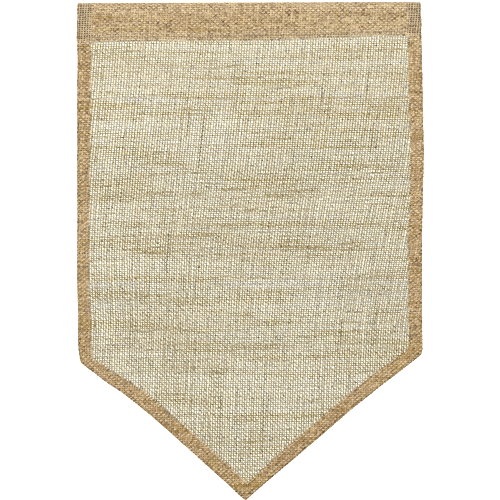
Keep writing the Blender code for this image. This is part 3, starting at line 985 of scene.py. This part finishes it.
    # the twist: strands that run round the thread once every few millimetres
    twist = addNode(material, "Mapping", {"Vector": yarn, "Scale": (1000.0 / look["twist"], 1.0, 1.0)})
    strands = addNode(material, "TexWave", {
        "Vector": twist, "Scale": 0.32, "Distortion": 1.2, "Detail": 2.0},
        "Fac", bands_direction="DIAGONAL")
    bump = addNode(material, "Bump", {
        "Strength": 0.5, "Distance": look["strands"] * mm, "Height": strands})
    material.node_tree.links.new(bump, shader.inputs["Normal"])
    return material


jute = makeJute("jute_yarn", juteYarn)


def inTwo(threads, special):  # the panel's threads without the special ones, and those
    return ([thread for thread in threads if thread.number not in special],
            [thread for thread in threads if thread.number in special])


plainWefts, slubbyWefts = inTwo(weftZones[0], slubRows)
plainWarps, darkerWarps = inTwo(warpZones[0], darkColumns)
weftPiece = clothPiece("panel_wefts", plainWefts, jute, ["panel"], 2, woven=True)
slubPiece = clothPiece("panel_slubby_wefts", slubbyWefts, jute, ["panel"], 1, woven=True)
warpPiece = clothPiece("panel_warps", plainWarps, jute, ["panel"], 1, woven=True)
darkPiece = clothPiece("panel_darker_warps", darkerWarps, jute, ["panel"], 1, woven=True)
hemPiece = clothPiece("hem_threads", weftZones[1] + warpZones[1], jute, ["panel"], 8, woven=True)
sleevePiece = clothPiece("sleeve_threads", weftZones[2] + warpZones[2], jute, ["rod_sleeve"], 2,
                         woven=True)


# Small things on the cloth: stitches, flecks of bark and loose fibres
def smallThread(x, v, front, radius, tone):
    along = np.concatenate([[0], np.cumsum(np.hypot(np.diff(x), np.diff(v)) + 0.01 * mm)])
    plain = dict.fromkeys((*yarnMarks, "hidden", "corner"), np.zeros(len(x)))
    plain["tone"] = plain["tone"] + tone
    return Thread(0, x=x, v=v, front=front, radius=radius, along=along, **plain)


stitching = {
    "length": 3.1,  # mm of each stitch
    "uneven": 0.05,  # as a share of that
    "gap": 0.55,  # and from one to the next
    "sway": 0.12,  # mm that one is out of line
    "dips": (-0.45, 0.0, 0.08, 0.0, -0.45),  # mm off the cloth, from one end to the other
    "radius": 0.2,
    "proud": 0.68,  # mm in front of the middle of the cloth
    "sleeveInset": 3.6,  # mm up from the sleeve's lower edge
    "sleeveReach": (-157.0, 156.5),
}


def stitchesAlong(xs, vs, surface, side):
    # stitches one after another along a line, each end dipping into the cloth
    made = []
    along = np.concatenate([[0], np.cumsum(np.hypot(np.diff(xs), np.diff(vs)))])
    pitch = (stitching["length"] + stitching["gap"]) * mm
    start = 0.0
    while start + stitching["length"] * mm < along[-1]:
        length = stitching["length"] * mm * (1 + dice.normal(0, stitching["uneven"]))
        places = start + length * np.array([0, 0.14, 0.5, 0.86, 1.0])
        sway = dice.normal(0, stitching["sway"]) * mm
        x = np.interp(places, along, xs) + sway
        v = np.interp(places, along, vs) + sway
        lift = np.array(stitching["dips"]) * mm
        radius = stitching["radius"] * mm * np.array([0.6, 1, 1.05, 1, 0.6])
        made.append(smallThread(x, v, surface + side * lift, radius, dice.normal(0, 1)))
        start += pitch
    return made


hemStitches = []
for line in foldLines:
    alongs = np.linspace(0.0 if line in foldLines[:2] else 0.012, 0.972, 80)
    inset = np.interp(alongs, line.stations, line.stray) - folding["stitchInset"] * mm
    xs = line.start[0] + line.run[0] * alongs + line.outward[0] * inset
    vs = line.start[1] + line.run[1] * alongs + line.outward[1] * inset
    hemStitches += stitchesAlong(xs, vs, stitching["proud"] * mm, 1)
    hemStitches += stitchesAlong(xs, vs, -2 * plyGap - stitching["proud"] * mm, -1)
xs = np.linspace(*stitching["sleeveReach"], 120) * mm
frontSeam = np.interp(xs, seamX, seamZ) + stitching["sleeveInset"] * mm
backSeam = backEnd(xs) - stitching["sleeveInset"] * mm
sleeveStitches = stitchesAlong(xs, frontSeam, stitching["proud"] * mm, 1)
sleeveStitches += stitchesAlong(xs, backSeam, stitching["proud"] * mm, 1)

flecks = {
    # across and up in mm, as they lie on the real one, and how large
    "seen": [
        (68, -93, 1.5), (115.5, -127, 1.4), (-46, -238.5, 1.4), (-50, -91, 0.9), (-50, -102, 0.8),
        (-37.5, -165, 1.1), (78.5, -300, 0.9), (-133, -190, 0.9), (-132, -196, 0.9), (-62, -259, 0.9),
        (-28, -254, 0.7), (-47, -260, 0.7), (-131, -227, 0.8), (-87, -237, 0.7), (-74, -207, 0.9),
        (-8, -289, 0.8), (-105, -265, 0.7), (-114, -270, 0.7), (24, -184, 0.7), (55, -209, 0.8),
        (68, -278, 0.8), (82, -307, 1.0), (20, -262, 0.8), (124, -315, 0.8), (-65, -337, 0.9),
        (-69, -361, 1.1), (63, -335, 0.8), (36, -379, 0.9), (19, -397, 1.0), (-4, -360, 0.7),
        (-14, -381, 0.7), (78, -351, 0.8), (10, -429, 0.9), (-87, -39, 0.9), (-61, -39, 0.8),
        (-102, -70, 0.8), (-121, -78, 0.7), (-81, -124, 0.7), (-62, -141, 0.9), (69, -94, 0.8),
        (142, -111, 0.6), (123, -67, 0.7), (114, -89, 0.6), (104, -156, 0.8), (-143, -166, 0.7),
    ],
    "more": 60,  # and so many small ones anywhere, of these sizes
    "moreBig": (0.35, 0.7),
    "length": 1.7,  # mm
    "radius": 0.5,
    "proud": 0.45,  # mm in front of the middle of the cloth
}
barkFlecks = []
seen = flecks["seen"] + [
    (dice.uniform(-150, 150), dice.uniform(-420, 30), dice.uniform(*flecks["moreBig"]))
    for _ in range(flecks["more"])]
for x, v, big in seen:
    j, i = nearest(x, v)
    middle = np.array((crossX[j, i], crossV[j, i])) * mm
    if max(line.beyond(*middle)[0] for line in foldLines) > -2 * mm:
        continue
    reach = flecks["length"] / 2 * mm * big * dice.uniform(0.8, 1.2)
    turn = dice.normal(0, 0.25) + (0 if dice.random() < 0.35 else math.pi / 2)
    shares = np.array([-1, 0, 1.0])
    radius = flecks["radius"] * mm * big * np.array([0.35, 1, 0.5])
    x = middle[0] + shares * reach * math.cos(turn)
    v = middle[1] + shares * reach * math.sin(turn)
    barkFlecks.append(smallThread(x, v, np.full(3, flecks["proud"] * mm), radius, dice.normal(0, 1)))

fuzz = {
    "count": 2600,
    "length": (1.6, 5.5),  # mm
    "radius": 0.038,
    "rootedAt": 0.3,  # mm off the middle of the cloth
    "standsOff": (0.5, 1.8),  # mm further at the far end
    "inFront": 0.6,  # the share on the front of the cloth
    "downBack": 26.0,  # mm of the sleeve's back wall that has them
}
looseFibres = []
flatX, flatV = crossX * mm, crossV * mm
beyondMost = np.maximum.reduce([line.beyond(flatX, flatV)[0] for line in foldLines])
lowest = crownRun + fuzz["downBack"] * mm
insidePlaces = np.argwhere(insideCut(flatX, flatV) & (beyondMost < 0) & (flatV < lowest))
for pick in dice.integers(0, len(insidePlaces), fuzz["count"]):
    j, i = insidePlaces[pick]
    length = dice.uniform(*fuzz["length"]) * mm
    turn = dice.uniform(0, 2 * math.pi) + np.array([0, 0, 1, 2.2]) * dice.normal(0, 0.35)
    steps = length / 3 * np.array([0, 1, 1, 1])
    x = crossX[j, i] * mm + np.cumsum(steps * np.cos(turn))
    v = crossV[j, i] * mm + np.cumsum(steps * np.sin(turn))
    side = 1 if dice.random() < fuzz["inFront"] else -1
    off = dice.uniform(*fuzz["standsOff"]) * mm
    front = side * (fuzz["rootedAt"] * mm + off * np.array([0, 0.45, 0.85, 1.0]))
    radius = fuzz["radius"] * mm * np.array([1.2, 1.0, 0.8, 0.4])
    looseFibres.append(smallThread(x, v, front, radius, dice.normal(0, 1)))

sewingThread = {"pale": "#c4a678", "dark": "#a1834f", "roughness": 0.6, "streaks": 2.5}  # streaks a mm
barkLook = {"pale": "#5b4a30", "dark": "#33271a", "roughness": 0.75, "streaks": 1.5}
fibreLook = {"pale": "#d8c69c", "dark": "#b79c69", "roughness": 0.7, "streaks": 0.9}


def makeSmall(name, look):
    # a plain two-tone fibre: streaked along its length, and each one a little lighter or darker
    material, shader = startMaterial(name, {"Roughness": look["roughness"], "Specular IOR Level": 0.35})
    tone = addNode(material, "Attribute", output="Fac", attribute_name="tone")
    yarn = addNode(material, "UVMap", uv_map="yarn")
    stretched = addNode(material, "Mapping", {
        "Vector": yarn, "Scale": (1000 * look["streaks"], 4.0, 1.0)})
    streak = addNode(material, "TexNoise", {"Vector": stretched, "Scale": 1.0, "Detail": 3.0})
    share = addNode(material, "Math", (tone, 0.18, streak), operation="MULTIPLY_ADD", use_clamp=True)
    colour = addNode(material, "Mix", {
        "Factor": share, 6: look["pale"], 7: look["dark"]}, 2, data_type="RGBA")
    bump = addNode(material, "Bump", {"Strength": 0.4, "Distance": 0.05 * mm, "Height": streak})
    material.node_tree.links.new(colour, shader.inputs["Base Color"])
    material.node_tree.links.new(bump, shader.inputs["Normal"])
    return material


# two-ply cotton, smoother and browner than jute; slivers of the stalk left in the yarn, dark and woody;
# and single fibres, pale and straw-like
cottonThread = makeSmall("cotton_sewing_thread", sewingThread)
bark = makeSmall("jute_bark", barkLook)
looseJute = makeSmall("loose_jute_fibre", fibreLook)
hemStitching = clothPiece("hem_stitching", hemStitches, cottonThread, ["panel"], 8)
sleeveStitching = clothPiece("sleeve_stitching", sleeveStitches, cottonThread, ["rod_sleeve"], 4)
fleckPiece = clothPiece("bark_flecks", barkFlecks, bark, ["panel"], 2)
fibrePiece = clothPiece("loose_fibres", looseFibres, looseJute, ["panel", "rod_sleeve"], 26)


# Light, floor and camera
studio = {
    "lens": 200.0,
    "sensor": 36.0,
    "frameWide": 460.5,  # mm of the flag's plane across the frame
    "centre": (0.2, -221.8),
    "floor": "#e9e8e5",
    "floorDepth": -0.75,  # metres
    "floorSide": 3.0,
    "world": 0.65,  # how bright it is as light on the cloth
    "backdrop": (2.0, 1.95, 1.6),  # as the camera sees it: a lit, warm white backdrop, overexposed
    "lookedAt": (0, 0, -0.22),
    # lamps: where each stands, its size in metres and its watts
    "lamps": {"key": ((-1.3, -1.6, 0.9), 1.2, 26.0), "fill": ((1.5, -1.5, 0.2), 1.4, 12.0)},
}


def makeStudio():
    scene = bpy.context.scene
    scene.view_settings.view_transform = "Standard"
    world = bpy.data.worlds.new("studio")
    world.use_nodes = True
    backdrop = addNode(world, "Mix", {
        "Factor": addNode(world, "LightPath", output="Is Camera Ray"),
        6: (*[studio["world"]] * 3, 1), 7: (*studio["backdrop"], 1)}, 2, data_type="RGBA")
    world.node_tree.links.new(backdrop, world.node_tree.nodes["Background"].inputs["Color"])
    scene.world = world

    bm = bmesh.new()
    bmesh.ops.create_grid(bm, x_segments=1, y_segments=1, size=studio["floorSide"] / 2)
    bmesh.ops.translate(bm, verts=bm.verts, vec=(0, 0, studio["floorDepth"]))
    mesh = bpy.data.meshes.new("floor")
    bm.to_mesh(mesh)
    bm.free()
    floor = bpy.data.objects.new("floor", mesh)
    scene.collection.objects.link(floor)
    paint = startMaterial("matt_floor_paint", {
        "Base Color": hexColour(studio["floor"]), "Roughness": 0.9})[0]
    mesh.materials.append(paint)

    for name, (spot, side, watts) in studio["lamps"].items():
        lamp = bpy.data.lights.new(name, "AREA")
        lamp.size = side
        lamp.energy = watts
        lit = bpy.data.objects.new(name, lamp)
        lit.location = spot
        aim = Vector(studio["lookedAt"]) - Vector(spot)
        lit.rotation_euler = aim.to_track_quat("-Z", "Y").to_euler()
        scene.collection.objects.link(lit)

    camera = bpy.data.cameras.new("camera")
    camera.lens = studio["lens"]
    camera.sensor_width = studio["sensor"]
    camera.clip_end = 20
    seen = bpy.data.objects.new("camera", camera)
    away = studio["frameWide"] * mm * studio["lens"] / studio["sensor"]
    seen.location = (studio["centre"][0] * mm, -away, studio["centre"][1] * mm)
    seen.rotation_euler = (math.radians(90), 0, 0)
    scene.collection.objects.link(seen)
    scene.camera = seen


makeStudio()
print("studio lit")
